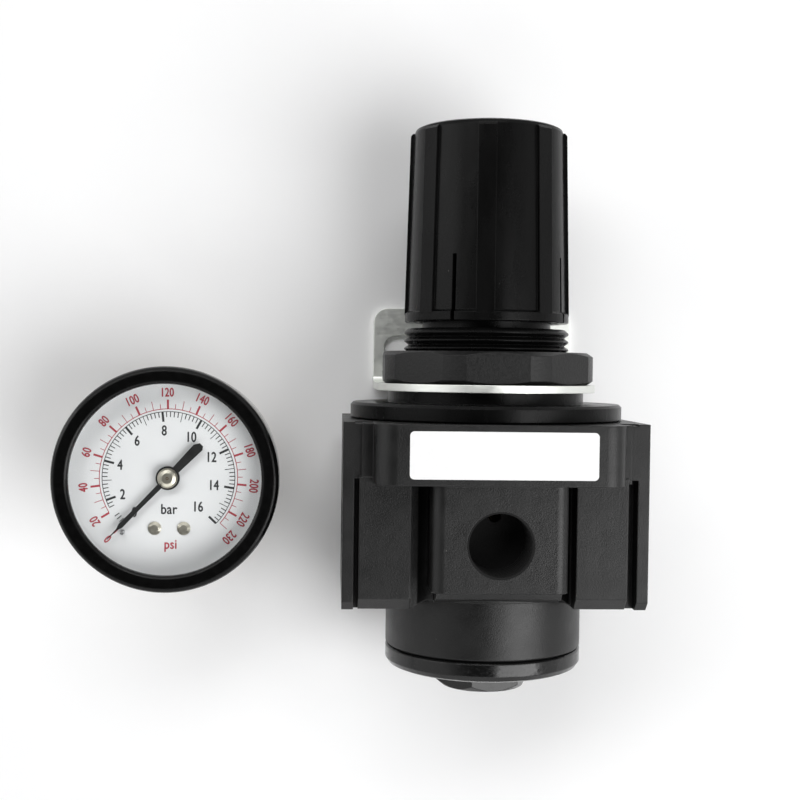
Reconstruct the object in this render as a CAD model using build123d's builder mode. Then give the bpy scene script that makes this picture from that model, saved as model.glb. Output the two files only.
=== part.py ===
from build123d import *
from math import cos, sin, radians
import os

# Air pressure regulator with a separate dial gauge. Millimetres, +Z up.
# The regulator lies on its back on z = 0, its long axis along +Y with the knob at the +Y end.
# y = 0 and x = 0 are on the axis shared by the inlet, outlet and gauge ports.

# ---- regulator: sizes along the axis
axis_height = 27.2
hex_end = -30.6
cap_bottom = -26.5
spigot_end = -22.55
body_bottom = -12.8
band_bottom = 10.5
body_top = 21.3
flange_top = 24.45
collar_top = 26.7
bracket_thickness = 1.4
nut_thickness = 6.2
thread_top = 38.7
knob_bottom = 39.95
knob_top = 77.4

# ---- regulator: sizes across the axis
barrel_radius = 22.0
head_radius = 26.2
spigot_radius = 19.0
end_plate_x = 27.85
end_plate_thickness = 2.1
end_plate_half_depth = 20.4
boss_half_width = 12.2
boss_front = 27.2
boss_bottom = -8.5
arch_y = -11.2
arch_half_width = 12.4
port_chamfer = 0.3
band_half_width = 22.4
band_front = 28.3
panel_front = 21.6
bonnet_flange_radius = 26.35
collar_radius = 19.0
thread_radius = 16.0
thread_pitch = 1.5
thread_depth = 0.85
neck_radius = 12.5
chamber_radius = 11.0
main_port_radius = 7.35
main_port_depth = 12.0
gauge_port_radius = 5.65
gauge_port_depth = 10.0

# ---- adjusting gear
screw_radius = 3.94
journal_radius = 4.0
bearing_radius = 4.06
neck_top = 51.5
neck_ceiling = 48.0
washer_thickness = 0.75
hex_flats = 7.5
knob_hex_flats = 7.6
rib_count = 8
rib_phase = -7.4
rib_half_width = 1.7
slit_phase = -30.0

# ---- diaphragm and valve
diaphragm_rim = 23.0
diaphragm_thickness = 1.5
diaphragm_low = 19.85
cup_base = 21.35
stem_radius = 1.5
stem_guide_radius = 1.56
seat_bore = 3.6
seat_outer = 5.5
seat_face = -2.6
plug_bore = 15.0
tail_radius = 2.0
tail_bore = 2.05

# ---- gauge: its own axis stands along +Z
gauge_x = -60.7
gauge_y = 9.75
case_radius = 20.2
case_wall = 0.7
case_back = 16.0
case_rim = 36.3
bezel_radius = 21.05
window_radius = 17.8
bezel_top = 39.3
dial_top = 33.1
dial_thickness = 0.5
dial_screw_y = -9.65
rest_angle = 136.0
back_plate_z = 23.0
front_plate_z = 29.5
plate_thickness = 0.8
arbor_radius = 0.5
arbor_hole = 0.55
pivot_y = gauge_y - 8.75
pinion_teeth = 10
sector_full_teeth = 60
sector_teeth = 11
tube_start = 10.0
tube_arc = 250.0

half = Plane(origin=(0, 0, axis_height), x_dir=(1, 0, 0), z_dir=(0, 0, 1))
regulator_axis = Axis((0, 0, axis_height), (0, 1, 0))
gauge_axis = Axis((gauge_x, gauge_y, 0), (0, 0, 1))


def across(y):
    """Plane square to the regulator's axis at y; its own +y points to the back."""
    return Plane(origin=(0, y, axis_height), x_dir=(1, 0, 0), z_dir=(0, 1, 0))


def side(x):
    """Plane square to X; its own x is the row's Y, its own y is the row's Z."""
    return Plane(origin=(x, 0, axis_height), x_dir=(0, 1, 0), z_dir=(1, 0, 0))


def radial(angle):
    """Half-plane through the regulator's axis, angle from the front towards +X."""
    a = radians(angle)
    return Plane(origin=(0, 0, axis_height), x_dir=(sin(a), 0, cos(a)), z_dir=(-cos(a), 0, sin(a)))


def gauge_level(z):
    """Plane square to the gauge's axis at height z."""
    return Plane(origin=(gauge_x, gauge_y, z), x_dir=(1, 0, 0), z_dir=(0, 0, 1))


def gauge_radial(angle):
    """Half-plane through the gauge's axis, angle from +X."""
    a = radians(angle)
    return Plane(origin=(gauge_x, gauge_y, 0), x_dir=(cos(a), sin(a), 0), z_dir=(sin(a), -cos(a), 0))


def block(low, high, mode=Mode.ADD):
    """Box between two opposite corners."""
    size = Vector(*high) - Vector(*low)
    with Locations((Vector(*low) + Vector(*high)) / 2):
        Box(size.X, size.Y, size.Z, mode=mode)


def save(piece, name):
    """Label the piece and write its own file."""
    piece.part.label = name
    export_step(piece.part, "parts/" + name + ".step")


os.makedirs("parts", exist_ok=True)

# ======== body: die-cast, with ports left, right and front ========
with BuildPart() as body:
    with BuildSketch(half):
        Polygon(
            (0, spigot_end), (spigot_radius - 0.4, spigot_end), (spigot_radius, spigot_end + 0.4),
            (spigot_radius, body_bottom), (barrel_radius, body_bottom), (barrel_radius, band_bottom),
            (head_radius, band_bottom), (head_radius, body_top), (0, body_top), align=None)
    revolve(axis=regulator_axis)
    # cross-web that carries the two end plates
    block((-26, body_bottom, axis_height - 17), (26, body_top, axis_height + 17))
    # end plates with bevelled lower corners, and their thicker upper part
    for plate_x in (-end_plate_x, end_plate_x - end_plate_thickness):
        with BuildSketch(side(plate_x)):
            Polygon(
                (body_top, -end_plate_half_depth), (body_top, end_plate_half_depth),
                (body_bottom + 1.6, end_plate_half_depth), (body_bottom, end_plate_half_depth - 1.6),
                (body_bottom, 1.6 - end_plate_half_depth), (body_bottom + 1.6, -end_plate_half_depth),
                align=None)
        extrude(amount=end_plate_thickness)
    for shoulder_x in (-end_plate_x, end_plate_x - 4):
        block((shoulder_x, 11.1, axis_height - end_plate_half_depth),
              (shoulder_x + 4, body_top - 0.3, axis_height + end_plate_half_depth))
    # flat panels either side of the gauge boss
    for panel_x in (-24.9, 14.4):
        with BuildSketch(side(panel_x)):
            Polygon(
                (band_bottom + 1, 0), (band_bottom + 1, panel_front), (body_bottom + 2.4, panel_front),
                (body_bottom + 0.2, panel_front - 2.4), (body_bottom, panel_front - 4), (body_bottom, 0),
                align=None)
        extrude(amount=9.4)
    # gauge boss, its front edges rounded and its underside sloping back to the arch
    with BuildSketch(across(boss_bottom)) as boss_outline:
        with Locations((0, -boss_front / 2)):
            Rectangle(2 * boss_half_width, boss_front)
        fillet(boss_outline.vertices().group_by(Axis.Y)[0], radius=2.2)
    extrude(amount=band_bottom - boss_bottom + 0.5)
    with BuildSketch(side(1 - boss_half_width)):
        Polygon((boss_bottom + 0.1, 0), (boss_bottom + 0.1, boss_front - 1.2), (boss_bottom, boss_front - 1.2),
                (boss_bottom - 1.4, boss_front - 2.6), (arch_y, spigot_radius + 1), (arch_y, 0), align=None)
    extrude(amount=2 * boss_half_width - 2)
    # shallow arch under the boss, cut back to the spigot
    with BuildSketch(Plane.XY.offset(axis_height + 12)):
        Polygon((-arch_half_width - 2.4, body_bottom), (-arch_half_width, arch_y), (arch_half_width, arch_y),
                (arch_half_width + 2.4, body_bottom), align=None)
    extrude(amount=18, mode=Mode.SUBTRACT)
    with BuildSketch(across(body_bottom)):
        Circle(spigot_radius)
    extrude(amount=arch_y - body_bottom)
    # label band, its ends rounded
    with BuildSketch(across(band_bottom)) as band_outline:
        with Locations((0, -band_front / 2)):
            Rectangle(2 * band_half_width, band_front)
        fillet(band_outline.vertices().group_by(Axis.Y)[0], radius=3.9)
    extrude(amount=body_top - band_bottom)
    # step of the head behind the band's ends
    block((-24.4, band_bottom, axis_height - 18), (24.4, body_top - 0.2, axis_height + 21.4))
    # flat rear pad
    block((-14, body_bottom, 0), (14, body_top, axis_height))
    # diaphragm seat, sensing chamber, outlet chamber, inlet chamber and plug bore
    with BuildSketch(half):
        Polygon(
            (0, body_top), (diaphragm_rim + 0.1, body_top), (diaphragm_rim + 0.1, body_top - diaphragm_thickness),
            (19.5, body_top - diaphragm_thickness), (19.5, 15), (0, 15), align=None)
    revolve(axis=regulator_axis, mode=Mode.SUBTRACT)
    with BuildSketch(half):
        Polygon(
            (0, 16), (stem_guide_radius, 16), (stem_guide_radius, 10.8), (8, 10.8), (8, 2.2),
            (seat_outer, 2.2), (seat_outer, -2), (11.5, -2), (11.5, -13.5), (plug_bore, -13.5),
            (plug_bore, spigot_end), (0, spigot_end), align=None)
    revolve(axis=regulator_axis, mode=Mode.SUBTRACT)
    with Locations(Location((0, 13, axis_height + 6.4), (90, 0, 0))):
        Cylinder(0.9, 8, mode=Mode.SUBTRACT)
    # inlet and outlet: threaded sockets and the slots that join them to their chambers
    for port_x in (-end_plate_x + main_port_depth / 2, end_plate_x - main_port_depth / 2):
        with Locations(Location((port_x, 0, axis_height), (0, 90, 0))):
            Cylinder(main_port_radius, main_port_depth, mode=Mode.SUBTRACT)
    for mouth_x, mouth_turn in ((port_chamfer / 2 - end_plate_x, -90), (end_plate_x - port_chamfer / 2, 90)):
        with Locations(Location((mouth_x, 0, axis_height), (0, mouth_turn, 0))):
            Cone(main_port_radius, main_port_radius + port_chamfer, port_chamfer, mode=Mode.SUBTRACT)
    block((-17, -7, axis_height - 3.5), (-8, -3, axis_height + 3.5), Mode.SUBTRACT)
    block((6, 3, axis_height - 3.5), (17, 7, axis_height + 3.5), Mode.SUBTRACT)
    # gauge port and its drilling into the outlet chamber
    with Locations((0, 0, axis_height + boss_front - gauge_port_depth / 2)):
        Cylinder(gauge_port_radius, gauge_port_depth, mode=Mode.SUBTRACT)
    with Locations((0, 0, axis_height + boss_front - port_chamfer / 2)):
        Cone(gauge_port_radius, gauge_port_radius + port_chamfer, port_chamfer, mode=Mode.SUBTRACT)
    with Locations((0, 4.2, axis_height + 12.5)):
        Cylinder(1.2, 12, mode=Mode.SUBTRACT)
save(body, "body")

# ======== bonnet: moulded flange, collar, threaded neck and bearing for the screw ========
with BuildPart() as bonnet:
    with BuildSketch(half):
        Polygon(
            (18.2, body_top), (bonnet_flange_radius - 0.3, body_top), (bonnet_flange_radius, body_top + 0.3),
            (bonnet_flange_radius, flange_top - 0.5), (bonnet_flange_radius - 0.5, flange_top),
            (collar_radius, flange_top), (collar_radius, collar_top), (thread_radius, collar_top),
            (thread_radius, thread_top - 0.7), (thread_radius - 0.7, thread_top), (neck_radius, thread_top),
            (neck_radius, neck_top - 0.6), (neck_radius - 0.6, neck_top), (bearing_radius, neck_top),
            (bearing_radius, neck_ceiling), (chamber_radius, neck_ceiling), (chamber_radius, 27.5),
            (18.2, 23), align=None)
    revolve(axis=regulator_axis)
    # the thread, drawn as rings one pitch apart
    for ring in range(7):
        groove_y = thread_top - 1.6 - ring * thread_pitch
        with BuildSketch(half):
            Polygon((thread_radius + 0.1, groove_y + 0.7), (thread_radius - thread_depth, groove_y),
                    (thread_radius + 0.1, groove_y - 0.7), align=None)
        revolve(axis=regulator_axis, mode=Mode.SUBTRACT)
    # two ribs that stop the spring nut turning
    for rib_x in (-chamber_radius - 0.3, 9.7):
        block((rib_x, 28, axis_height - 1.2), (rib_x + 1.6, neck_ceiling - 1.2, axis_height + 1.2))
save(bonnet, "bonnet")

# ======== adjusting knob: tapered shell, ribs, spring fingers and a hexagon socket ========
with BuildPart() as knob:
    with BuildSketch(half):
        Polygon(
            (13.0, knob_bottom), (15.75, knob_bottom), (15.95, knob_bottom + 0.2),
            (15.95, knob_bottom + 1.7), (15.4, knob_bottom + 2.1), (14.5, knob_top - 0.9),
            (14.25, knob_top - 0.3), (13.6, knob_top), (0, knob_top), (0, knob_top - 2.6),
            (12.2, knob_top - 2.6), (13.0, 56), align=None)
    revolve(axis=regulator_axis)
    for rib in range(rib_count):
        with BuildSketch(radial(rib_phase + rib * 360 / rib_count)):
            Polygon((13.6, knob_bottom + 1.5), (15.95, knob_bottom + 1.5), (15.12, knob_top - 1.3),
                    (14.7, knob_top - 0.8), (13.6, knob_top - 0.8), align=None)
        extrude(amount=rib_half_width, both=True)
    for slit in range(4):
        with BuildSketch(radial(slit_phase + slit * 90)):
            Polygon((12, knob_bottom - 1), (17, knob_bottom - 1), (17, knob_bottom + 12.4),
                    (12, knob_bottom + 12.4), align=None)
        extrude(amount=0.38, both=True, mode=Mode.SUBTRACT)
    with BuildSketch(across(54.5)):
        Circle(7)
    extrude(amount=20.6)
    with BuildSketch(across(54.5)):
        RegularPolygon(knob_hex_flats / 2, 6, major_radius=False)
    extrude(amount=17, mode=Mode.SUBTRACT)
save(knob, "knob")

# ======== adjusting screw: left-hand M8 thread, thrust shoulder, journal, hexagon end ========
with BuildPart() as adjusting_screw:
    with BuildSketch(half):
        Polygon(
            (0, 26), (screw_radius - 0.6, 26), (screw_radius, 26.6), (screw_radius, 45.2), (7, 45.2),
            (7, 47.2), (journal_radius, 47.2), (journal_radius, 51.6), (3.3, 51.6), (3.3, 52.4),
            (journal_radius, 52.4), (journal_radius, 53.4), (0, 53.4), align=None)
    revolve(axis=regulator_axis)
    with BuildSketch(across(53)):
        RegularPolygon(hex_flats / 2, 6, major_radius=False)
    extrude(amount=17)
save(adjusting_screw, "adjusting_screw")

with BuildPart() as screw_thrust_washer:
    with BuildSketch(across(neck_ceiling - washer_thickness)):
        Circle(8)
        Circle(bearing_radius, mode=Mode.SUBTRACT)
    extrude(amount=washer_thickness)
save(screw_thrust_washer, "screw_thrust_washer")

with BuildPart() as screw_retaining_clip:
    with BuildSketch(across(51.65)):
        Circle(6)
        Circle(3.3, mode=Mode.SUBTRACT)
        with Locations((0, 5)):
            Rectangle(4.6, 10, mode=Mode.SUBTRACT)
    extrude(amount=0.7)
save(screw_retaining_clip, "screw_retaining_clip")

# ======== spring nut: runs on the screw, held from turning by the bonnet's ribs ========
with BuildPart() as spring_nut:
    with BuildSketch(half):
        Polygon((4.0, 39.5), (6.4, 38.3), (6.7, 38.3), (6.7, 39.5), (10.7, 39.5), (10.7, 43), (6.5, 44.5),
                (4.0, 44.5), align=None)
    revolve(axis=regulator_axis)
    for notch_x in (-11.4, 9.4):
        block((notch_x, 38, axis_height - 1.5), (notch_x + 2, 45, axis_height + 1.5), Mode.SUBTRACT)
save(spring_nut, "spring_nut")

with BuildPart() as main_spring:
    with BuildLine() as main_coil:
        Helix(pitch=3.3, height=14.7, radius=7.9, center=(0, 23.85, axis_height), direction=(0, 1, 0))
    with BuildSketch(Plane(origin=main_coil.line @ 0, z_dir=main_coil.line % 0)):
        Circle(0.95)
    sweep(path=main_coil.line, is_frenet=True)
save(main_spring, "main_spring")

# ======== diaphragm and the two plates that grip its middle ========
with BuildPart() as spring_cup:
    with BuildSketch(half):
        Polygon((3.0, cup_base), (10.2, cup_base), (10.5, cup_base + 0.3), (10.5, 25), (9.7, 25),
                (9.5, cup_base + 1.5), (3.0, cup_base + 1.5), align=None)
    revolve(axis=regulator_axis)
save(spring_cup, "spring_cup")

with BuildPart() as diaphragm:
    with BuildSketch(half):
        Polygon(
            (3.3, diaphragm_low), (11.4, diaphragm_low), (12.6, 17.4), (14.2, 16.3), (15.6, 16.3),
            (17.2, 17.4), (18.4, body_top - diaphragm_thickness), (diaphragm_rim, body_top - diaphragm_thickness),
            (diaphragm_rim, body_top), (17.3, body_top), (16.0, 18.4), (14.9, 17.8), (13.8, 18.4),
            (12.4, cup_base), (3.3, cup_base), align=None)
    revolve(axis=regulator_axis)
save(diaphragm, "diaphragm")

with BuildPart() as diaphragm_plate:
    with BuildSketch(half):
        Polygon((1.2, 18.4), (9.7, 18.4), (10, 18.7), (10, diaphragm_low), (3.0, diaphragm_low),
                (3.0, 24), (1.2, 24), align=None)
    revolve(axis=regulator_axis)
save(diaphragm_plate, "diaphragm_plate")

# ======== valve: seat ring, poppet with rubber seal, spring ========
with BuildPart() as valve_seat:
    with BuildSketch(half):
        Polygon((seat_bore, 2.2), (seat_bore, seat_face), (seat_bore + 0.5, seat_face), (seat_outer, -2),
                (seat_outer, 2.2), align=None)
    revolve(axis=regulator_axis)
save(valve_seat, "valve_seat")

with BuildPart() as poppet:
    with BuildSketch(half):
        Polygon(
            (0, 18.2), (1.2, 18.2), (stem_radius, 17.9), (stem_radius, seat_face - 0.2), (2.6, seat_face - 0.2),
            (2.6, -4.4), (7.8, -4.4), (7.8, -6.9), (5.9, -6.9), (5.9, -7.9), (tail_radius, -7.9),
            (tail_radius, -18.2), (1.6, -18.6), (0, -18.6), align=None)
    revolve(axis=regulator_axis)
save(poppet, "poppet")

with BuildPart() as poppet_seal:
    with BuildSketch(half):
        Polygon((2.6, -4.4), (7.2, -4.4), (7.2, -2.95), (6.9, -2.65), (2.6, -2.65), align=None)
    revolve(axis=regulator_axis)
save(poppet_seal, "poppet_seal")

with BuildPart() as valve_spring:
    with BuildLine() as valve_coil:
        Helix(pitch=2.1, height=12.25, radius=6.75, center=(0, -19.6, axis_height), direction=(0, 1, 0))
    with BuildSketch(Plane(origin=valve_coil.line @ 0, z_dir=valve_coil.line % 0)):
        Circle(0.4)
    sweep(path=valve_coil.line, is_frenet=True)
save(valve_spring, "valve_spring")

# ======== bottom plug, screwed into the body, with its O-ring and the tail's O-ring ========
with BuildPart() as bottom_plug:
    with BuildSketch(half):
        Polygon(
            (tail_bore, -14.7), (3.8, -14.7), (3.8, -13), (5.3, -13), (5.3, -20), (8.4, -20), (8.4, -14),
            (14.9, -14), (14.9, -15.3), (13.2, -15.3), (13.2, -17.3), (14.9, -17.3), (14.9, spigot_end - 0.1),
            (18.7, spigot_end - 0.1), (spigot_radius, spigot_end - 0.4), (spigot_radius, cap_bottom + 1.3),
            (18.4, cap_bottom + 0.4), (17.4, cap_bottom), (0, cap_bottom), (0, -21), (tail_bore, -21),
            align=None)
    revolve(axis=regulator_axis)
    with BuildSketch(across(hex_end)):
        RegularPolygon(9.3, 6, rotation=12)
    extrude(amount=cap_bottom - hex_end + 0.2)
    with BuildSketch(half):
        Polygon((0, hex_end), (8.0, hex_end), (9.4, hex_end + 1.2), (19.2, cap_bottom), (19.2, -12),
                (0, -12), align=None)
    revolve(axis=regulator_axis, mode=Mode.INTERSECT)
save(bottom_plug, "bottom_plug")

with BuildPart() as plug_o_ring:
    with Locations(Location((0, -16.3, axis_height), (90, 0, 0))):
        Torus(14.1, 0.88)
save(plug_o_ring, "plug_o_ring")

with BuildPart() as tail_o_ring:
    with Locations(Location((0, -13.85, axis_height), (90, 0, 0))):
        Torus(2.95, 0.84)
save(tail_o_ring, "tail_o_ring")

# ======== panel nut: octagon with turned corners, on the bonnet's thread ========
nut_low = collar_top + bracket_thickness
nut_high = nut_low + nut_thickness
with BuildPart() as panel_nut:
    with BuildSketch(across(nut_low)):
        RegularPolygon(20, 8, major_radius=False, rotation=22.5)
    extrude(amount=nut_thickness)
    with BuildSketch(half):
        Polygon(
            (thread_radius + 0.8, nut_low), (19.6, nut_low), (20.85, nut_low + 0.8), (20.85, nut_high - 0.8),
            (19.6, nut_high), (thread_radius + 0.8, nut_high), (thread_radius + 0.05, nut_high - 0.7),
            (thread_radius + 0.05, nut_low + 0.7), align=None)
    revolve(axis=regulator_axis, mode=Mode.INTERSECT)
save(panel_nut, "panel_nut")

# ======== mounting bracket: one bent strip, round where it goes over the thread ========
leg_half_width = 21.2
leg_top = 43.8
slot_y = 35.3
with BuildPart() as mounting_bracket:
    with BuildSketch(side(-leg_half_width)) as bend:
        Polygon(
            (collar_top, 0), (nut_low, 0), (nut_low, bracket_thickness - axis_height),
            (leg_top, bracket_thickness - axis_height), (leg_top, -axis_height), (collar_top, -axis_height),
            align=None)
        fillet(bend.vertices().sort_by_distance((nut_low, bracket_thickness - axis_height))[0], radius=1.2)
        fillet(bend.vertices().sort_by_distance((collar_top, -axis_height))[0], radius=2.6)
    extrude(amount=2 * leg_half_width)
    with BuildSketch(across(collar_top)):
        Circle(leg_half_width)
    extrude(amount=bracket_thickness)
    with BuildSketch(across(collar_top - 1)):
        Circle(thread_radius + 0.35)
    extrude(amount=bracket_thickness + 2, mode=Mode.SUBTRACT)
    with BuildSketch(Plane.XY):
        with Locations((-14.5, slot_y), (14.5, slot_y)):
            SlotOverall(9, 5.4)
    extrude(amount=bracket_thickness, mode=Mode.SUBTRACT)
    fillet(mounting_bracket.edges().filter_by(Axis.Z).group_by(Axis.Y)[-1], radius=3)
save(mounting_bracket, "mounting_bracket")

with BuildPart() as blank_sticker:
    with BuildSketch(Plane(origin=(0.3, 15.9, axis_height + band_front))):
        RectangleRounded(33.2, 8.4, 0.8)
    extrude(amount=0.1)
save(blank_sticker, "blank_sticker")

# ======== gauge socket: brass stem with pipe thread, hexagon, and the block inside the case ========
with BuildPart() as gauge_socket:
    with BuildSketch(gauge_radial(0)):
        Polygon((0, 0), (5.9, 0), (6.6, 0.9), (6.6, 10), (5.6, 10.2), (5.0, 10.6), (5.0, 16.8), (0, 16.8),
                align=None)
    revolve(axis=gauge_axis)
    with BuildSketch(gauge_level(10.4)):
        RegularPolygon(7.1, 6, major_radius=False)
    extrude(amount=5.2)
    block((gauge_x - 4.5, gauge_y - 12.4, 16.8), (gauge_x + 4.5, gauge_y + 3, back_plate_z))
    block((gauge_x - 5, gauge_y - 16.6, 16.8), (gauge_x + 4, gauge_y - 12.2, 20.5))
    # pressure way up the stem and across to the tube's root
    with Locations((gauge_x, gauge_y, 9.6)):
        Cylinder(1.6, 19.2, mode=Mode.SUBTRACT)
    with Locations(Location((gauge_x - 2, gauge_y - 7, 18.6), (90, 0, 0))):
        Cylinder(0.8, 15.2, mode=Mode.SUBTRACT)
    with Locations((gauge_x - 2, gauge_y - 14.0, 19.6)):
        Cylinder(0.8, 2, mode=Mode.SUBTRACT)
save(gauge_socket, "gauge_socket")

# ======== gauge case: drawn can with a ledge for the dial ========
with BuildPart() as gauge_case:
    with BuildSketch(gauge_radial(0)):
        Polygon(
            (5.05, case_back), (case_radius - 1.6, case_back), (case_radius, case_back + 1.6),
            (case_radius, case_rim), (case_radius - case_wall, case_rim),
            (case_radius - case_wall, case_back + 1.9), (case_radius - 1.9, case_back + case_wall),
            (5.05, case_back + case_wall), align=None)
    revolve(axis=gauge_axis)
    with BuildSketch(gauge_radial(0)):
        Polygon((17.6, dial_top - dial_thickness - 0.8), (case_radius - 0.4, dial_top - dial_thickness - 1.6),
                (case_radius - 0.4, dial_top - dial_thickness), (17.6, dial_top - dial_thickness), align=None)
    revolve(axis=gauge_axis)
save(gauge_case, "gauge_case")

with BuildPart() as bezel:
    with BuildSketch(gauge_radial(0)):
        Polygon(
            (case_radius, 34.2), (bezel_radius - 0.3, 34.2), (bezel_radius, 34.6), (bezel_radius, 38.3),
            (bezel_radius - 0.2, 38.85), (bezel_radius - 0.7, bezel_top), (window_radius + 0.5, bezel_top),
            (window_radius + 0.1, 39), (window_radius, 38.6), (window_radius, 38.1), (case_radius, 38.1),
            align=None)
    revolve(axis=gauge_axis)
save(bezel, "bezel")

with BuildPart() as lens_gasket:
    with BuildSketch(gauge_level(case_rim)):
        Circle(case_radius - 0.1)
        Circle(window_radius + 0.6, mode=Mode.SUBTRACT)
    extrude(amount=0.6)
save(lens_gasket, "lens_gasket")

with BuildPart() as lens:
    with BuildSketch(gauge_level(case_rim + 0.6)):
        Circle(case_radius - 0.1)
    extrude(amount=1.2)
save(lens, "lens")

with BuildPart() as dial:
    with BuildSketch(gauge_level(dial_top - dial_thickness)):
        Circle(19.1)
        Circle(1.5, mode=Mode.SUBTRACT)
        with Locations((-2.55, dial_screw_y), (2.95, dial_screw_y)):
            Circle(0.75, mode=Mode.SUBTRACT)
    extrude(amount=dial_thickness)
save(dial, "dial")

# two dome-headed screws that reach through the dial into the front plate
with BuildPart() as dial_screws:
    for screw_x in (gauge_x - 2.55, gauge_x + 2.95):
        with Locations((screw_x, gauge_y + dial_screw_y, (front_plate_z + plate_thickness + dial_top) / 2)):
            Cylinder(0.7, dial_top - front_plate_z - plate_thickness)
        with Locations((screw_x, gauge_y + dial_screw_y, dial_top + 0.15)):
            Cylinder(1.25, 0.3)
        with Locations((screw_x, gauge_y + dial_screw_y, dial_top + 0.3)):
            Cone(1.25, 0.7, 0.4, align=(Align.CENTER, Align.CENTER, Align.MIN))
save(dial_screws, "dial_screws")

with BuildPart() as stop_pin:
    with Locations((gauge_x - 8.4, gauge_y - 10.4, dial_top)):
        Cylinder(0.35, 2, align=(Align.CENTER, Align.CENTER, Align.MIN))
save(stop_pin, "stop_pin")

# ======== pointer on the pinion's shaft, at rest by the stop pin ========
with BuildPart() as pointer:
    with BuildSketch(gauge_level(34.3).rotated((0, 0, rest_angle))):
        Circle(2.25)
        Polygon((-0.55, 0), (0.55, 0), (0.42, 8), (0.5, 12.6), (0.13, 13.6), (0.07, 16.2), (-0.07, 16.2),
                (-0.13, 13.6), (-0.5, 12.6), (-0.42, 8), align=None)
        Polygon((-0.65, 0), (0.65, 0), (0.95, -7.9), (0.35, -8.9), (-0.5, -8.9), (-0.95, -8.3), align=None)
        Circle(0.5, mode=Mode.SUBTRACT)
    extrude(amount=0.4)
save(pointer, "pointer")

with BuildPart() as pointer_cap:
    with BuildSketch(gauge_radial(0)):
        Polygon((0, 34.7), (1.9, 34.7), (1.9, 35.0), (1.6, 35.35), (1.0, 35.5), (0, 35.5), align=None)
    revolve(axis=gauge_axis)
save(pointer_cap, "pointer_cap")

# ======== gauge movement: plates, pillars, pinion, sector, link, hairspring ========
for plate_name, plate_z in (("movement_back_plate", back_plate_z), ("movement_front_plate", front_plate_z)):
    with BuildPart() as movement_plate:
        with BuildSketch(gauge_level(plate_z)):
            with Locations((0, -4.9)):
                RectangleRounded(7.2, 15.8, 1.2)
            Circle(arbor_hole, mode=Mode.SUBTRACT)
            with Locations((0, -8.75)):
                Circle(arbor_hole, mode=Mode.SUBTRACT)
        extrude(amount=plate_thickness)
    save(movement_plate, plate_name)

with BuildPart() as movement_pillars:
    with BuildSketch(gauge_level(back_plate_z + plate_thickness)):
        with Locations((-2.6, 2.0), (2.6, 2.0), (-2.4, -11.8), (2.4, -11.8)):
            Circle(0.7)
    extrude(amount=front_plate_z - back_plate_z - plate_thickness)
save(movement_pillars, "movement_pillars")

with BuildPart() as movement_screws:
    with BuildSketch(gauge_level(front_plate_z + plate_thickness)):
        with Locations((-2.6, 2.0), (2.6, 2.0), (-2.4, -11.8), (2.4, -11.8)):
            Circle(0.95)
    extrude(amount=0.7)
    with BuildSketch(gauge_level(front_plate_z + plate_thickness + 0.4)):
        with Locations((-2.6, 2.0), (2.6, 2.0), (-2.4, -11.8), (2.4, -11.8)):
            Rectangle(2.2, 0.3)
    extrude(amount=0.4, mode=Mode.SUBTRACT)
save(movement_screws, "movement_screws")

with BuildPart() as pinion_shaft:
    with BuildSketch(gauge_level(back_plate_z + 0.1)):
        Circle(arbor_radius)
    extrude(amount=34.7 - back_plate_z - 0.1)
    with BuildSketch(gauge_level(26)):
        Circle(0.95)
        for tooth in range(pinion_teeth):
            turn = radians(-72 + tooth * 360 / pinion_teeth)
            Polygon(
                *[(r * cos(turn + radians(w)), r * sin(turn + radians(w)))
                  for r, w in ((0.85, -10), (1.5, -4), (1.5, 4), (0.85, 10))], align=None)
    extrude(amount=2)
save(pinion_shaft, "pinion_shaft")

sector_plane = Plane(origin=(gauge_x, pivot_y, 26.2), x_dir=(1, 0, 0), z_dir=(0, 0, 1))
sector_tail = (5.09, -2.09)
with BuildPart() as sector_gear:
    with BuildSketch(sector_plane):
        Circle(1.4)
        Polygon(
            (0, 0), *[(7.2 * cos(radians(34 + 3.2 * k)), 7.2 * sin(radians(34 + 3.2 * k)))
                      for k in range(21)], align=None)
        for tooth in range(sector_teeth):
            turn = radians(96 - tooth * 360 / sector_full_teeth)
            Polygon(
                *[(r * cos(turn + radians(w)), r * sin(turn + radians(w)))
                  for r, w in ((7.05, -1.6), (7.7, -0.65), (7.7, 0.65), (7.05, 1.6))], align=None)
        Polygon(
            *[(2.6 * cos(radians(48 + 4 * k)), 2.6 * sin(radians(48 + 4 * k))) for k in range(10)],
            *[(5.8 * cos(radians(84 - 4 * k)), 5.8 * sin(radians(84 - 4 * k))) for k in range(10)],
            mode=Mode.SUBTRACT, align=None)
        with Locations(sector_tail):
            Circle(0.95)
        Polygon((-0.3, -0.8), (sector_tail[0] - 0.2, sector_tail[1] - 0.8),
                (sector_tail[0] + 0.3, sector_tail[1] + 0.7), (0.3, 0.8), align=None)
        Circle(arbor_radius, mode=Mode.SUBTRACT)
        with Locations(sector_tail):
            Circle(0.45, mode=Mode.SUBTRACT)
    extrude(amount=1.6)
    with Locations((gauge_x, pivot_y, back_plate_z + 0.1)):
        Cylinder(arbor_radius, 7.1, align=(Align.CENTER, Align.CENTER, Align.MIN))
save(sector_gear, "sector_gear")

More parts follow.
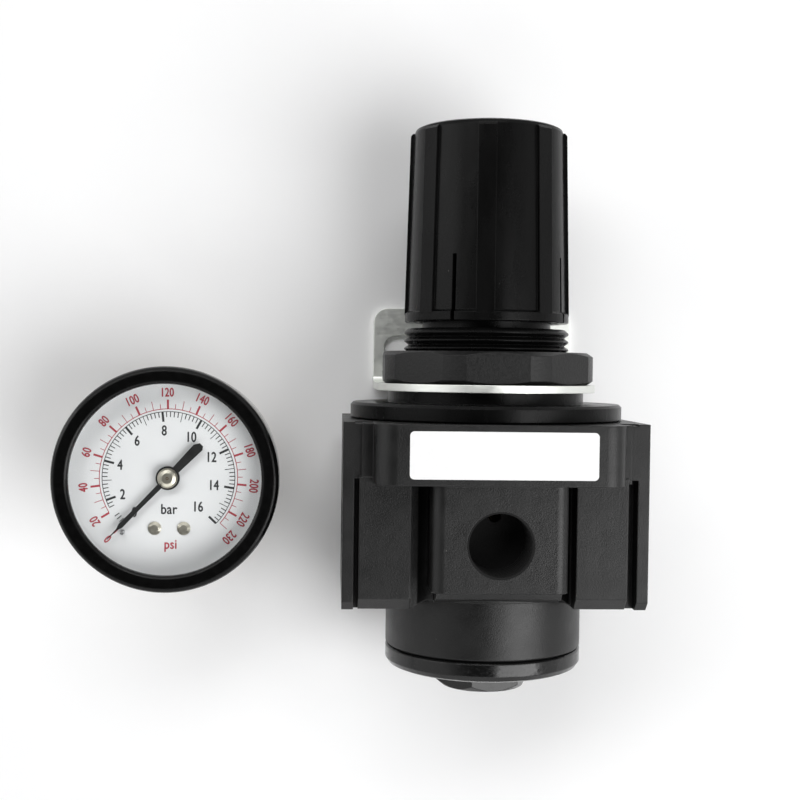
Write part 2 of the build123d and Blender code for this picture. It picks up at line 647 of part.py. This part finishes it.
tail_x = gauge_x + sector_tail[0]
tail_y = pivot_y + sector_tail[1]
tip_x = gauge_x + 10.6
tip_y = gauge_y + 3.0
with BuildPart() as link:
    with BuildSketch(Plane.XY.offset(24.6)):
        with Locations((tail_x, tail_y), (tip_x, tip_y)):
            Circle(0.9)
        Polygon((tail_x - 0.55, tail_y + 0.2), (tail_x + 0.55, tail_y - 0.2), (tip_x + 0.55, tip_y - 0.2),
                (tip_x - 0.55, tip_y + 0.2), align=None)
        with Locations((tip_x, tip_y)):
            Circle(0.45, mode=Mode.SUBTRACT)
    extrude(amount=1.2)
    with Locations((tail_x, tail_y, 25.8)):
        Cylinder(0.4, 2.2, align=(Align.CENTER, Align.CENTER, Align.MIN))
save(link, "link")

with BuildPart() as hairspring:
    with BuildSketch(gauge_level(28.4)):
        Polygon(
            *[((0.6 + 0.0016 * d) * cos(radians(d)), (0.6 + 0.0016 * d) * sin(radians(d)))
              for d in range(0, 1081, 15)],
            *[((0.72 + 0.0016 * d) * cos(radians(d)), (0.72 + 0.0016 * d) * sin(radians(d)))
              for d in range(1080, -1, -15)], align=None)
    extrude(amount=0.7)
save(hairspring, "hairspring")

# flattened tube bent to an arc, its closed end carrying the ear the link hangs on
with BuildPart() as bourdon_tube:
    with BuildSketch(gauge_radial(tube_start)):
        with Locations((14.5, 23.5)):
            RectangleRounded(1.7, 6, 0.8)
        with Locations((14.5, 23.5)):
            RectangleRounded(1.0, 5.3, 0.45, mode=Mode.SUBTRACT)
    revolve(axis=gauge_axis, revolution_arc=tube_arc)
    with BuildSketch(gauge_radial(tube_start)):
        with Locations((14.5, 23.5)):
            RectangleRounded(2.1, 6.3, 0.8)
    extrude(amount=1.4)
    block((tip_x - 0.9, tip_y - 1.2, 23.2), (gauge_x + 14.4, tip_y + 0.6, 24.5))
    with Locations((tip_x, tip_y, 24.4)):
        Cylinder(0.4, 1.7, align=(Align.CENTER, Align.CENTER, Align.MIN))
save(bourdon_tube, "bourdon_tube")
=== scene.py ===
import bmesh
import bpy
from math import cos, pi, radians, sin
from mathutils import Matrix, Vector


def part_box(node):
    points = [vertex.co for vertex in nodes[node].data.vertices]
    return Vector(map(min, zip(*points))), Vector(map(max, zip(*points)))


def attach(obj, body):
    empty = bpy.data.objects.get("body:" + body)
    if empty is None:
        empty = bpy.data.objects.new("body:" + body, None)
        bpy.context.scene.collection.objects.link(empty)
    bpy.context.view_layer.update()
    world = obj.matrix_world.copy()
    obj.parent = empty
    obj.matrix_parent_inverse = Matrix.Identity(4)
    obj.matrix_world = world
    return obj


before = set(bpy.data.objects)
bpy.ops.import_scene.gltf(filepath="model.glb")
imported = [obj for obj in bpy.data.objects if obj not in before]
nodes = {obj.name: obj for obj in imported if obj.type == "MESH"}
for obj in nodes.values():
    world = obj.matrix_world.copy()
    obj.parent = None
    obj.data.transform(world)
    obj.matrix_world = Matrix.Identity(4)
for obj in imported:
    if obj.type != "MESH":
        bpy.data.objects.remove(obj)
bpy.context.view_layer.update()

# ======== Camera ========
# Looks straight down on the parts as they lie on the table, the knob up the picture.
eye = bpy.data.cameras.new("camera")
eye.sensor_width = 36
eye.lens = 58.14
camera = bpy.data.objects.new("camera", eye)
camera.location = (-0.02958, 0.03112, 0.27925)
camera.rotation_euler = (radians(-1.477), radians(-2.903), radians(0.727))
bpy.context.scene.collection.objects.link(camera)
bpy.context.scene.camera = camera
bpy.context.scene.view_settings.view_transform = "Standard"

# ======== Floor and studio light ========
# A white sheet on a table, lit by two broad soft lights from the right and the upper left.


class Value:
    """One output of a shader node, which takes part in Python sums."""

    def __init__(self, material, socket):
        self.material = material
        self.socket = socket

    def sum(self, operation, *terms):
        return self.material.node("ShaderNodeMath", {"operation": operation}, dict(enumerate(terms)))

    def __add__(self, other):
        return self.sum("ADD", self, other)

    def __radd__(self, other):
        return self.sum("ADD", other, self)

    def __sub__(self, other):
        return self.sum("SUBTRACT", self, other)

    def __rsub__(self, other):
        return self.sum("SUBTRACT", other, self)

    def __mul__(self, other):
        return self.sum("MULTIPLY", self, other)

    def __rmul__(self, other):
        return self.sum("MULTIPLY", other, self)

    def __truediv__(self, other):
        return self.sum("DIVIDE", self, other)

    def __gt__(self, other):
        return self.sum("GREATER_THAN", self, other)

    def __lt__(self, other):
        return self.sum("LESS_THAN", self, other)

    def ramp(self, low, high, to_low=0.0, to_high=1.0):
        """Smooth change from to_low at low to to_high at high."""
        return self.material.node(
            "ShaderNodeMapRange", {"interpolation_type": "SMOOTHSTEP"},
            {"Value": self, "From Min": low, "From Max": high, "To Min": to_low, "To Max": to_high})


class Material:
    """A Principled material; constants go on the shader's own sockets."""

    def __init__(self, name, color, **constants):
        self.data = bpy.data.materials.new(name)
        self.data.use_nodes = True
        self.tree = self.data.node_tree
        self.shader = self.tree.nodes["Principled BSDF"]
        self.shader.inputs["Base Color"].default_value = (*color, 1)
        for key, number in constants.items():
            self.shader.inputs[key.replace("_", " ")].default_value = number
        self.place = self.node("ShaderNodeTexCoord", output="Object")

    def node(self, kind, settings=None, values=None, output=0):
        made = self.tree.nodes.new(kind)
        for key, setting in (settings or {}).items():
            setattr(made, key, setting)
        for key, value in (values or {}).items():
            if isinstance(value, Value):
                self.tree.links.new(value.socket, made.inputs[key])
            else:
                made.inputs[key].default_value = value
        return Value(self, made.outputs[output])

    def set(self, key, value):
        self.tree.links.new(value.socket, self.shader.inputs[key])

    def coordinate(self, letter):
        return self.node("ShaderNodeSeparateXYZ", {}, {"Vector": self.place}, letter)

    def noise(self, size, detail=3.0, rough=0.55, stretch=(1, 1, 1)):
        """Noise whose patches are about size metres across."""
        spot = self.node("ShaderNodeMapping", {}, {"Vector": self.place, "Scale": stretch})
        return self.node("ShaderNodeTexNoise", {},
                         {"Vector": spot, "Scale": 1 / size, "Detail": detail, "Roughness": rough})

    def specks(self, spacing, radius, share):
        """Small dots on a few cells of a random grid."""
        cell = {"Vector": self.place, "Scale": 1 / spacing}
        near = self.node("ShaderNodeTexVoronoi", {}, cell, "Distance")
        pick = self.node("ShaderNodeSeparateColor", {},
                         {"Color": self.node("ShaderNodeTexVoronoi", {}, cell, "Color")}, "Red")
        return (near < radius / spacing) * (pick < share)

    def mix(self, amount, first, second):
        """Blend of two colours, each a tuple or a Value."""
        a, b = (c if isinstance(c, Value) else (*c, 1) for c in (first, second))
        return self.node("ShaderNodeMix", {"data_type": "RGBA"}, {0: amount, 6: a, 7: b}, 2)

    def bump(self, height, depth, under=None):
        values = {"Height": height, "Distance": depth, "Strength": 1.0}
        if under:
            values["Normal"] = under
        return self.node("ShaderNodeBump", {}, values)

    def soft_edges(self, radius):
        """Normal rounded over near sharp edges."""
        return self.node("ShaderNodeBevel", {"samples": 6}, {"Radius": radius})


def add_light(name, size, power, spot, target, color=(1, 1, 1)):
    data = bpy.data.lights.new(name, "AREA")
    data.shape = "RECTANGLE"
    data.size, data.size_y = size
    data.energy = power
    data.color = color
    lamp = bpy.data.objects.new(name, data)
    lamp.location = spot
    lamp.rotation_euler = (Vector(target) - Vector(spot)).to_track_quat("-Z", "Y").to_euler()
    bpy.context.scene.collection.objects.link(lamp)


sheet_mesh = bpy.data.meshes.new("table_sheet")
sheet_mesh.from_pydata([(-0.8, -0.8, 0), (0.8, -0.8, 0), (0.8, 0.8, 0), (-0.8, 0.8, 0)], [], [(0, 1, 2, 3)])
table_sheet = bpy.data.objects.new("table_sheet", sheet_mesh)
table_sheet.location.z = -0.0001
bpy.context.scene.collection.objects.link(table_sheet)
paper = Material("paper", (0.93, 0.93, 0.93), Roughness=0.9)
paper.set("Base Color", paper.mix(paper.noise(0.02), (0.92, 0.92, 0.925), (0.95, 0.95, 0.95)))
sheet_mesh.materials.append(paper.data)

add_light("window_right", (0.6, 0.8), 8.0, (0.54, -0.26, 0.78), (0, 0, 0.02))
add_light("window_left", (0.35, 0.8), 1.7, (-0.85, 0.3, 0.3), (-0.02, 0.02, 0.02))
add_light("window_top", (1.0, 0.35), 5.0, (-0.2, 0.62, 0.85), (0, 0.02, 0.02))
add_light("front_fill", (0.9, 0.3), 1.6, (-0.05, -0.6, 0.8), (0, 0, 0.02))
world = bpy.data.worlds.new("room")
world.use_nodes = True
tree = world.node_tree
room = tree.nodes["Background"]
room.inputs["Color"].default_value = (1, 1, 1, 1)
room.inputs["Strength"].default_value = 0.08
backdrop = tree.nodes.new("ShaderNodeBackground")
backdrop.inputs["Color"].default_value = (1, 1, 1, 1)
ray = tree.nodes.new("ShaderNodeLightPath")
seen = tree.nodes.new("ShaderNodeMixShader")
way = tree.nodes.new("ShaderNodeSeparateXYZ")
tree.links.new(tree.nodes.new("ShaderNodeTexCoord").outputs["Generated"], way.inputs[0])
low = tree.nodes.new("ShaderNodeMapRange")
low.inputs["From Min"].default_value = 0.62
low.inputs["From Max"].default_value = 0.92
low.inputs["To Min"].default_value = 1
low.inputs["To Max"].default_value = 0
tree.links.new(way.outputs[2], low.inputs["Value"])
mirrored = tree.nodes.new("ShaderNodeMath")
mirrored.operation = "MULTIPLY"
tree.links.new(ray.outputs["Is Glossy Ray"], mirrored.inputs[0])
tree.links.new(low.outputs[0], mirrored.inputs[1])
shown = ray.outputs["Is Camera Ray"]
for kind in (ray.outputs["Is Transmission Ray"], mirrored.outputs[0]):
    either = tree.nodes.new("ShaderNodeMath")
    either.operation = "MAXIMUM"
    tree.links.new(shown, either.inputs[0])
    tree.links.new(kind, either.inputs[1])
    shown = either.outputs[0]
tree.links.new(shown, seen.inputs[0])
tree.links.new(room.outputs[0], seen.inputs[1])
tree.links.new(backdrop.outputs[0], seen.inputs[2])
tree.links.new(seen.outputs[0], tree.nodes["World Output"].inputs["Surface"])
bpy.context.scene.world = world

# ======== Body ========
# Die-cast metal, shot-blasted and painted satin black. The paint keeps the casting's fine
# grain, and a few specks of dust have settled in it. The ports are cut with pipe thread.


def paint(material, *names):
    """Gives CAD nodes a material on each of their slots."""
    for name in names:
        for holder in nodes[name].material_slots:
            holder.material = material.data


black_paint = Material("black_paint", (0.003, 0.003, 0.003), Roughness=0.36, Specular_IOR_Level=0.34)
grain = black_paint.noise(0.00028, 4)
patches = black_paint.noise(0.006, 2)
dust = black_paint.specks(0.0035, 0.00009, 0.3)
x, y, z = (black_paint.coordinate(letter) for letter in "XYZ")
port_z = 0.0272
side_bore = (y * y + (z - port_z) * (z - port_z) < 0.0077 ** 2) * (x * x > 0.0155 ** 2)
front_bore = (x * x + y * y < 0.006 ** 2) * (z > 0.043)
bore = side_bore + front_bore
turns = 2 * pi / 0.00141
ridges = side_bore * x.sum("SINE", x * turns) + front_bore * z.sum("SINE", z * turns)
outside = black_paint.mix(dust, black_paint.mix(patches, (0.001, 0.001, 0.001), (0.004, 0.004, 0.004)),
                          (0.12, 0.12, 0.11))
# Inside the port bores the colour drops to pure black, darker than the paint outside: painted shade in the
# holes.
black_paint.set("Base Color", black_paint.mix(bore, outside, (0, 0, 0)))
black_paint.set("Roughness", (patches.ramp(0.3, 0.7, 0.32, 0.4) + grain * 0.06) * (1 - bore) + bore * 0.85)
shape = black_paint.bump(ridges, 0.0003, black_paint.soft_edges(0.00035))
black_paint.set("Normal", black_paint.bump(grain, 0.00004, black_paint.bump(patches, 0.0001, shape)))
paint(black_paint, "body")

# ======== Bonnet and knob ========
# Injection-moulded glass-filled nylon: the bonnet screws down on the diaphragm, and the knob
# slides on the screw's hexagon. Satin, with a faint moulded texture and dust.

satin_plastic = Material("satin_plastic", (0.002, 0.002, 0.002), Roughness=0.26, Specular_IOR_Level=0.1)
texture = satin_plastic.noise(0.00025, 3)
flow = satin_plastic.noise(0.004, 2, stretch=(1, 0.25, 1))
dust = satin_plastic.specks(0.003, 0.00008, 0.3)
satin_plastic.set("Base Color", satin_plastic.mix(
    dust, satin_plastic.mix(flow, (0.001, 0.001, 0.001), (0.003, 0.003, 0.003)), (0.12, 0.12, 0.11)))
satin_plastic.set("Roughness", flow.ramp(0.3, 0.7, 0.22, 0.28) + texture * 0.05)
satin_plastic.set("Normal", satin_plastic.bump(
    texture, 0.00002, satin_plastic.bump(flow, 0.00006, satin_plastic.soft_edges(0.0002))))
paint(satin_plastic, "bonnet", "knob")

# ======== Panel nut ========
# Moulded octagonal nut with a coarser, duller grain than the bonnet.

grainy_plastic = Material("grainy_plastic", (0.006, 0.006, 0.006), Roughness=0.42, Specular_IOR_Level=0.28)
coarse = grainy_plastic.noise(0.0005, 4)
grainy_plastic.set("Base Color", grainy_plastic.mix(coarse, (0.002, 0.002, 0.002), (0.006, 0.006, 0.006)))
grainy_plastic.set("Roughness", coarse.ramp(0.3, 0.7, 0.36, 0.46))
grainy_plastic.set("Normal", grainy_plastic.bump(coarse, 0.00004, grainy_plastic.soft_edges(0.0002)))
paint(grainy_plastic, "panel_nut")

# ======== Mounting bracket ========
# One strip of sheet steel, punched and bent, then zinc plated bright, clamped under the nut.

zinc = Material("zinc_plate", (0.72, 0.73, 0.75), Roughness=0.3, Metallic=1.0)
spangle = zinc.noise(0.0016, 4)
rolling = zinc.noise(0.0004, 3, stretch=(0.08, 1, 1))
zinc.set("Base Color", zinc.mix(spangle, (0.70, 0.72, 0.69), (0.78, 0.79, 0.75)))
zinc.set("Roughness", spangle.ramp(0.3, 0.7, 0.38, 0.46))
zinc.set("Normal", zinc.bump(rolling, 0.00002, zinc.soft_edges(0.0002)))
paint(zinc, "mounting_bracket")

# ======== Sticker ========
# A blank white film label pressed on the body's label band.

film = Material("label_film", (0.86, 0.86, 0.86), Roughness=0.42, IOR=1.45)
fibre = film.noise(0.0008, 3)
film.set("Base Color", film.mix(fibre, (0.84, 0.84, 0.84), (0.89, 0.89, 0.89)))
film.set("Roughness", fibre.ramp(0.3, 0.7, 0.38, 0.5))
film.set("Normal", film.bump(fibre, 0.00001))
paint(film, "blank_sticker")

# ======== Bottom plug ========
# Glossy moulded cap with a hexagon boss, screwed up into the body.

gloss_plastic = Material("gloss_plastic", (0.003, 0.003, 0.003), Roughness=0.16, Specular_IOR_Level=0.36)
ripple = gloss_plastic.noise(0.003, 2)
scuffs = gloss_plastic.noise(0.0006, 5, stretch=(1, 1, 0.3))
gloss_plastic.set("Base Color", gloss_plastic.mix(ripple, (0.002, 0.002, 0.002), (0.005, 0.005, 0.005)))
gloss_plastic.set("Roughness", scuffs.ramp(0.35, 0.75, 0.14, 0.3))
gloss_plastic.set("Normal", gloss_plastic.bump(ripple, 0.00008, gloss_plastic.soft_edges(0.0003)))
paint(gloss_plastic, "bottom_plug")

# ======== Steel, brass, springs and rubber inside ========
# Turned steel screw and plates, turned and sheared brass, drawn spring wire, moulded nitrile.

steel = Material("turned_steel", (0.5, 0.5, 0.51), Roughness=0.32, Metallic=1.0)
lathe = steel.noise(0.0003, 3)
steel.set("Base Color", steel.mix(lathe, (0.44, 0.44, 0.46), (0.60, 0.60, 0.60)))
steel.set("Roughness", lathe.ramp(0.3, 0.7, 0.25, 0.4))
paint(steel, "adjusting_screw", "screw_thrust_washer", "screw_retaining_clip", "spring_cup",
      "diaphragm_plate", "movement_screws", "pinion_shaft", "stop_pin")

wire = Material("spring_wire", (0.3, 0.3, 0.31), Roughness=0.35, Metallic=1.0)
drawn = wire.noise(0.0005, 3)
wire.set("Base Color", wire.mix(drawn, (0.22, 0.22, 0.23), (0.38, 0.37, 0.36)))
wire.set("Roughness", drawn.ramp(0.3, 0.7, 0.28, 0.45))
paint(wire, "main_spring", "valve_spring")

brass = Material("brass", (0.78, 0.58, 0.27), Roughness=0.28, Metallic=1.0)
tarnish = brass.noise(0.002, 4)
brass.set("Base Color", brass.mix(tarnish, (0.66, 0.47, 0.21), (0.83, 0.64, 0.33)))
brass.set("Roughness", tarnish.ramp(0.3, 0.7, 0.2, 0.38))
brass.set("Normal", brass.soft_edges(0.0002))
paint(brass, "gauge_socket", "spring_nut", "valve_seat", "poppet", "movement_back_plate",
      "movement_front_plate", "movement_pillars", "sector_gear", "link")

bronze = Material("bronze", (0.62, 0.40, 0.20), Roughness=0.3, Metallic=1.0)
stain = bronze.noise(0.003, 3)
bronze.set("Base Color", bronze.mix(stain, (0.52, 0.31, 0.16), (0.70, 0.47, 0.26)))
bronze.set("Roughness", stain.ramp(0.3, 0.7, 0.24, 0.4))
paint(bronze, "bourdon_tube", "hairspring")

rubber = Material("nitrile", (0.02, 0.02, 0.02), Roughness=0.65)
bloom = rubber.noise(0.0015, 3)
rubber.set("Base Color", rubber.mix(bloom, (0.015, 0.015, 0.015), (0.032, 0.032, 0.032)))
rubber.set("Roughness", bloom.ramp(0.3, 0.7, 0.55, 0.75))
paint(rubber, "diaphragm", "poppet_seal", "plug_o_ring", "tail_o_ring", "lens_gasket")

# ======== Gauge case and bezel ========
# The can is drawn from bright plated sheet; the bezel is rolled over it and enamelled black.

plated = Material("plated_can", (0.75, 0.75, 0.76), Roughness=0.2, Metallic=1.0)
draw_marks = plated.noise(0.0006, 3, stretch=(1, 1, 0.1))
plated.set("Base Color", plated.mix(draw_marks, (0.58, 0.58, 0.59), (0.66, 0.66, 0.66)))
plated.set("Roughness", draw_marks.ramp(0.3, 0.7, 0.14, 0.28))
paint(plated, "gauge_case")

enamel = Material("black_enamel", (0.002, 0.002, 0.002), Roughness=0.14, Specular_IOR_Level=0.2)
orange_peel = enamel.noise(0.0014, 2)
enamel.set("Base Color", enamel.mix(orange_peel, (0.001, 0.001, 0.001), (0.003, 0.003, 0.003)))
enamel.set("Roughness", orange_peel.ramp(0.3, 0.7, 0.12, 0.2))
enamel.set("Normal", enamel.bump(orange_peel, 0.000015, enamel.soft_edges(0.0005)))
paint(enamel, "bezel")

# ======== Lens ========
# A flat disc of clear plastic held under the bezel's lip. It shows the dial and a faint gloss.

window = bpy.data.materials.new("clear_window")
window.use_nodes = True
tree = window.node_tree
tree.nodes.clear()
clear = tree.nodes.new("ShaderNodeBsdfTransparent")
clear.inputs["Color"].default_value = (0.975, 0.98, 0.98, 1)
gloss = tree.nodes.new("ShaderNodeBsdfGlossy")
gloss.inputs["Roughness"].default_value = 0.03
facing = tree.nodes.new("ShaderNodeFresnel")
facing.inputs["IOR"].default_value = 1.4
inside = tree.nodes.new("ShaderNodeNewGeometry")
outer_only = tree.nodes.new("ShaderNodeMath")
outer_only.operation = "GREATER_THAN"
shine = tree.nodes.new("ShaderNodeMath")
shine.operation = "MULTIPLY"
blend = tree.nodes.new("ShaderNodeMixShader")
surface = tree.nodes.new("ShaderNodeOutputMaterial")
outer_only.inputs[0].default_value = 0.5
tree.links.new(inside.outputs["Backfacing"], outer_only.inputs[1])
tree.links.new(facing.outputs[0], shine.inputs[0])
tree.links.new(outer_only.outputs[0], shine.inputs[1])
tree.links.new(shine.outputs[0], blend.inputs[0])
tree.links.new(clear.outputs[0], blend.inputs[1])
tree.links.new(gloss.outputs[0], blend.inputs[2])
tree.links.new(blend.outputs[0], surface.inputs["Surface"])
for holder in nodes["lens"].material_slots:
    holder.material = window

# ======== Dial and its printing ========
# White enamelled aluminium disc, screen printed: an outer red scale in psi and an inner black
# scale in bar, each with its arc, long, middle and short marks, numbers and unit.

dial_white = Material("dial_enamel", (0.86, 0.86, 0.87), Roughness=0.45, IOR=1.45)
mottle = dial_white.noise(0.004, 2)
flecks = dial_white.specks(0.0055, 0.00007, 0.35)
dial_white.set("Base Color", dial_white.mix(
    flecks, dial_white.mix(mottle, (0.85, 0.85, 0.86), (0.88, 0.88, 0.88)), (0.2, 0.2, 0.2)))
dial_white.set("Roughness", mottle.ramp(0.3, 0.7, 0.4, 0.5))
paint(dial_white, "dial")

low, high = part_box("dial")
hub = Vector(((low[0] + high[0]) / 2, (low[1] + high[1]) / 2, high[2]))
ink_height = 0.00003
arc_red, arc_black = 13.0, 12.48
scale_start = -136.0


def psi_angle(psi):
    """Degrees clockwise from the top; the bottom end of the scale is squeezed up to zero."""
    return scale_start if psi == 0 else -1.0 + 1.204 * (psi - 120)


def add_piece(name, mesh, material, body):
    piece = bpy.data.objects.new(name, mesh)
    bpy.context.scene.collection.objects.link(piece)
    if material:
        mesh.materials.clear()
        mesh.materials.append(material.data)
    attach(piece, body)
    return piece


def mark(drawing, angle, inner, outer, width):
    """One printed stroke along a radius, in millimetres."""
    a = radians(angle)
    along = Vector((sin(a), cos(a), 0))
    across = Vector((cos(a), -sin(a), 0))
    corners = [along * r + across * w for r, w in
               ((inner, -width / 2), (outer, -width / 2), (outer, width / 2), (inner, width / 2))]
    drawing.faces.new([drawing.verts.new(c) for c in reversed(corners)])


def arc(drawing, radius, width, start, end):
    """One printed arc, in short quads."""
    steps = 180
    rim = []
    for k in range(steps + 1):
        a = radians(start + (end - start) * k / steps)
        rim.append([drawing.verts.new((r * sin(a), r * cos(a), 0))
                    for r in (radius - width / 2, radius + width / 2)])
    for (a, b), (c, d) in zip(rim, rim[1:]):
        drawing.faces.new((a, c, d, b))


def lettering(drawing, text, height, spot, turn, narrow=0.72, bold=0.0):
    """Flat characters of a given height, centred on spot; shifted copies make them bold."""
    curve = bpy.data.curves.new("lettering", "FONT")
    curve.body = text
    curve.align_x = "CENTER"
    curve.align_y = "CENTER"
    curve.size = height / 0.69
    curve.space_character = 1.05
    holder = bpy.data.objects.new("lettering", curve)
    bpy.context.scene.collection.objects.link(holder)
    bpy.context.view_layer.update()
    flat = bpy.data.meshes.new_from_object(holder)
    middle = [(min(v.co[i] for v in flat.vertices) + max(v.co[i] for v in flat.vertices)) / 2 for i in (0, 1)]
    flat.transform(Matrix.Translation((-middle[0], -middle[1], 0)))
    flat.transform(Matrix.Translation((*spot, 0)) @ Matrix.Rotation(-radians(turn), 4, "Z")
                   @ Matrix.Diagonal((narrow, 1, 1, 1)))
    for step in ((bold, 0, 0), (-2 * bold, 0, 0.003), (bold, bold, 0.003), (0, -2 * bold, 0.003)):
        flat.transform(Matrix.Translation(step))
        drawing.from_mesh(flat)
    bpy.data.objects.remove(holder)


def print_on_dial(name, drawing, ink):
    """Turns a drawing in millimetres into a thin printed piece on the dial."""
    for vert in drawing.verts:
        vert.co = hub + vert.co / 1000 + Vector((0, 0, ink_height))
    mesh = bpy.data.meshes.new(name)
    drawing.to_mesh(mesh)
    drawing.free()
    return add_piece(name, mesh, ink, "gauge")


red_ink = Material("red_ink", (0.50, 0.035, 0.06), Roughness=0.5)
press = red_ink.noise(0.0003, 2)
red_ink.set("Base Color", red_ink.mix(press, (0.42, 0.04, 0.06), (0.50, 0.06, 0.085)))
black_ink = Material("black_ink", (0.015, 0.015, 0.017), Roughness=0.5)
press = black_ink.noise(0.0003, 2)
black_ink.set("Base Color", black_ink.mix(press, (0.010, 0.010, 0.012), (0.03, 0.03, 0.032)))

red = bmesh.new()
arc(red, arc_red, 0.14, -121, psi_angle(230))
mark(red, scale_start, arc_red + 0.1, 14.75, 0.38)
for psi in range(20, 231, 5):
    if psi % 20 == 0:
        mark(red, psi_angle(psi), arc_red, 14.75, 0.38)
    elif psi % 10 == 0:
        mark(red, psi_angle(psi), arc_red, 14.7, 0.12)
    else:
        mark(red, psi_angle(psi), arc_red, 13.95, 0.12)
for psi in [*range(0, 221, 20), 230]:
    radius = 16.35 if psi == 0 else 16.15
    turn = psi_angle(psi) + (3 if psi == 230 else 0)
    a = radians(turn)
    lettering(red, str(psi), 1.6, (radius * sin(a), radius * cos(a)), turn, 0.72, 0.05)
lettering(red, "psi", 1.75, (0.45, -13.0), 0, 0.84, 0.05)
print_on_dial("scale_psi", red, red_ink)

black = bmesh.new()
psi_per_bar = 14.504
arc(black, arc_black, 0.13, psi_angle(1.6 * psi_per_bar), psi_angle(16 * psi_per_bar))
for step in range(8, 81):
    bar = step * 0.2
    angle = psi_angle(bar * psi_per_bar)
    if step % 10 == 0:
        mark(black, angle, 10.6, arc_black, 0.42)
    elif step % 5 == 0:
        mark(black, angle, 10.7, arc_black, 0.12)
    else:
        mark(black, angle, 11.45, arc_black, 0.17)
for step in range(4):
    mark(black, scale_start + 3.2 * step, 11.45 if step else 10.6, arc_black, 0.17 if step else 0.42)
for bar, radius in (
        (0, 9.2), (2, 9.2), (4, 9.45), (6, 9.15), (8, 8.95), (10, 8.85), (12, 9.05), (14, 8.75), (16, 7.9)):
    a = radians(psi_angle(bar * psi_per_bar))
    lettering(black, str(bar), 1.85, (radius * sin(a), radius * cos(a)), 0, 0.74, 0.055)
lettering(black, "bar", 1.85, (0.15, -6.0), 0, 0.84, 0.05)
print_on_dial("scale_bar", black, black_ink)

# ======== Pointer, its cap, and the dial screws ========
# The pointer is blanked from thin sheet and painted; the cap and screws are nickel plated.

pointer_paint = Material("pointer_paint", (0.01, 0.01, 0.01), Roughness=0.45, Specular_IOR_Level=0.3)
rub = pointer_paint.noise(0.0008, 3)
pointer_paint.set("Base Color", pointer_paint.mix(rub, (0.008, 0.008, 0.008), (0.014, 0.014, 0.014)))
pointer_paint.set("Roughness", rub.ramp(0.3, 0.7, 0.38, 0.55))
paint(pointer_paint, "pointer")

nickel = Material("nickel", (0.62, 0.60, 0.56), Roughness=0.25, Metallic=1.0)
haze = nickel.noise(0.0006, 3)
x, y = (nickel.coordinate(letter) for letter in "XY")
from_hub = x.sum("SQRT", (x - hub.x) * (x - hub.x) + (y - hub.y) * (y - hub.y))
# A brownish ring round the pointer cap's centre is painted shade, standing in for the shading of a dimple.
painted_dimple_shade = (from_hub > 0.00016) * (from_hub < 0.0003)
nickel.set("Base Color", nickel.mix(painted_dimple_shade, nickel.mix(haze, (0.56, 0.53, 0.44), (0.63, 0.60, 0.51)),
                                    (0.30, 0.20, 0.12)))
nickel.set("Roughness", haze.ramp(0.3, 0.7, 0.28, 0.34))
paint(nickel, "pointer_cap", "dial_screws")
